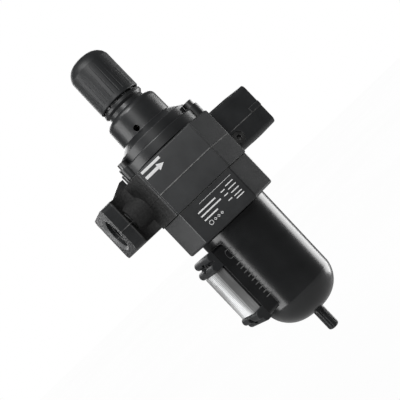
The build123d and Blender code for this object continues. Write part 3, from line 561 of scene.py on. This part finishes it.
def shortening_spring(node, material):
    """Copy of a spring with merged vertices and smooth shading, fixed to the root body in place of the
    hidden original.
    """
    spring = frame["nodes"][node].copy()
    spring.data = frame["nodes"][node].data.copy()
    spring.parent = None
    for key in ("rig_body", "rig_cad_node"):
        del spring[key]
    spring.name = node + "_coil"
    bpy.context.scene.collection.objects.link(spring)
    select_only(spring)
    bpy.ops.object.mode_set(mode="EDIT")
    bpy.ops.mesh.select_all(action="SELECT")
    bpy.ops.mesh.remove_doubles(threshold=1e-7)
    bpy.ops.object.mode_set(mode="OBJECT")
    bpy.ops.object.shade_smooth_by_angle(angle=math.radians(30))
    finish_piece(spring, material, "root")
    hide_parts(node)
    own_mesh(spring)


shortening_spring("range_spring", zinc_wire)
shortening_spring("valve_spring", zinc_wire)


# ---- port threads ---------------------------------------------------------------------------
THREAD_PITCH = 2.309 * MM
THREAD_HEIGHT = 0.5 * MM
THREAD_STEPS = 72
THREAD_RUNOUT = 1.4 * MM
RIDGE_SHARE = 0.42


def port_thread(name, side):
    """Ridge of the internal thread, wound down the port's wall."""
    turns = int((PORT_LENGTH - THREAD_PITCH) / THREAD_PITCH)
    start = PORT_REACH - PORT_LENGTH - THREAD_RUNOUT
    bpy.ops.object.select_all(action="DESELECT")
    bpy.ops.mesh.primitive_circle_add(vertices=4, radius=1, rotation=(math.pi / 2, 0, 0),
                                      fill_type="NOTHING")
    ridge = bpy.context.object
    settle(ridge)
    ridge.matrix_world = (Matrix.Translation((PORT_RADIUS, 0, start))
                          @ Matrix.Diagonal((THREAD_HEIGHT, 1, THREAD_PITCH * RIDGE_SHARE, 1)))
    settle(ridge)
    modify(ridge, "SCREW", axis="Z", angle=2 * math.pi, screw_offset=THREAD_PITCH, iterations=turns,
           steps=THREAD_STEPS, render_steps=THREAD_STEPS, use_merge_vertices=False)
    select_only(ridge)
    bpy.ops.object.mode_set(mode="EDIT")
    bpy.ops.mesh.select_all(action="SELECT")
    bpy.ops.mesh.remove_doubles(threshold=1e-6)
    bpy.ops.mesh.select_all(action="DESELECT")
    bpy.ops.mesh.select_mode(type="EDGE")
    bpy.ops.mesh.select_non_manifold()
    bpy.ops.mesh.fill_holes(sides=8)
    bpy.ops.mesh.select_all(action="SELECT")
    bpy.ops.mesh.normals_make_consistent(inside=False)
    bpy.ops.object.mode_set(mode="OBJECT")
    ridge.matrix_world = (Matrix.Translation((0, 0, PORT_HEIGHT))
                          @ Matrix.Rotation(side * math.pi / 2, 4, "Y"))
    settle(ridge)
    ridge.name = name
    select_only(ridge)
    bpy.ops.object.shade_smooth_by_angle(angle=math.radians(35))
    finish_piece(ridge, casting_paint, "root")


port_thread("inlet_thread", -1)
port_thread("outlet_thread", 1)


# ---- camera, light and floor ----------------------------------------------------------------
CAMERA_TURN = math.radians(-20.44)
CAMERA_RISE = math.radians(-0.85)
CAMERA_ROLL = math.radians(43.58)
CAMERA_DISTANCE = 713.4 * MM
CAMERA_LENS = 66.77
AIM_ACROSS = -10.1 * MM
AIM_HEIGHT = 176.8 * MM
MIDDLE = 150.0 * MM
ROOM_LIGHT = 0.13
FLOOR_DROP = 0.45
FLOOR_RADIUS = 20.0


def place_camera():
    back = Vector((math.cos(CAMERA_RISE) * math.sin(CAMERA_TURN),
                   -math.cos(CAMERA_RISE) * math.cos(CAMERA_TURN), math.sin(CAMERA_RISE)))
    right = Vector((math.cos(CAMERA_TURN), math.sin(CAMERA_TURN), 0))
    up = back.cross(right)
    aim = right * AIM_ACROSS + up * (AIM_HEIGHT - MIDDLE) + Vector((0, 0, MIDDLE))
    sideways = right * math.cos(CAMERA_ROLL) - up * math.sin(CAMERA_ROLL)
    upwards = right * math.sin(CAMERA_ROLL) + up * math.cos(CAMERA_ROLL)
    data = bpy.data.cameras.new("camera")
    data.lens = CAMERA_LENS
    data.sensor_width = 36.0
    data.clip_start = 0.01
    data.clip_end = 50.0
    camera = bpy.data.objects.new("camera", data)
    turned = Matrix((sideways, upwards, back)).transposed().to_4x4()
    camera.matrix_world = Matrix.Translation(aim + back * CAMERA_DISTANCE) @ turned
    bpy.context.scene.collection.objects.link(camera)
    bpy.context.scene.camera = camera


def softbox(name, place, size, power):
    """Rectangular light that faces the middle of the object."""
    data = bpy.data.lights.new(name, "AREA")
    data.shape = "RECTANGLE"
    data.size, data.size_y = size
    data.energy = power
    lamp = bpy.data.objects.new(name, data)
    aim = Vector((0, 0, MIDDLE)) - Vector(place)
    lamp.location = place
    lamp.rotation_euler = aim.to_track_quat("-Z", "Y").to_euler()
    bpy.context.scene.collection.objects.link(lamp)


def white_room():
    """World that shows white and lights the object softly."""
    world = bpy.data.worlds.new("studio")
    world.use_nodes = True
    tree = world.node_tree
    background = tree.nodes["Background"]
    background.inputs["Color"].default_value = (1.0, 1.0, 1.0, 1.0)
    seen = tree.nodes.new("ShaderNodeLightPath")
    brightness = tree.nodes.new("ShaderNodeMapRange")
    brightness.inputs["To Min"].default_value = ROOM_LIGHT
    tree.links.new(seen.outputs["Is Camera Ray"], brightness.inputs["Value"])
    tree.links.new(brightness.outputs["Result"], background.inputs["Strength"])
    bpy.context.scene.world = world
    bpy.context.scene.view_settings.view_transform = "Standard"


def white_floor():
    bpy.ops.object.select_all(action="DESELECT")
    bpy.ops.mesh.primitive_circle_add(vertices=96, radius=FLOOR_RADIUS, fill_type="NGON")
    floor = bpy.context.object
    floor.name = "floor"
    floor.location.z = -FLOOR_DROP
    settle(floor)
    floor.data.materials.append(stage_white("stage_white"))


place_camera()
softbox("right_box", (1.0, 0.2, 0.0), (0.6, 0.9), 9.0)
softbox("top_box", (-0.5, -0.6, 1.3), (0.8, 0.6), 8.0)
softbox("front_box", (-0.7, -1.5, 1.1), (0.6, 0.5), 14.0)
softbox("left_box", (-1.2, 0.05, 0.2), (0.7, 1.0), 9.0)
softbox("back_box", (0.2, 1.3, 0.7), (1.2, 0.9), 12.0)
white_room()
white_floor()
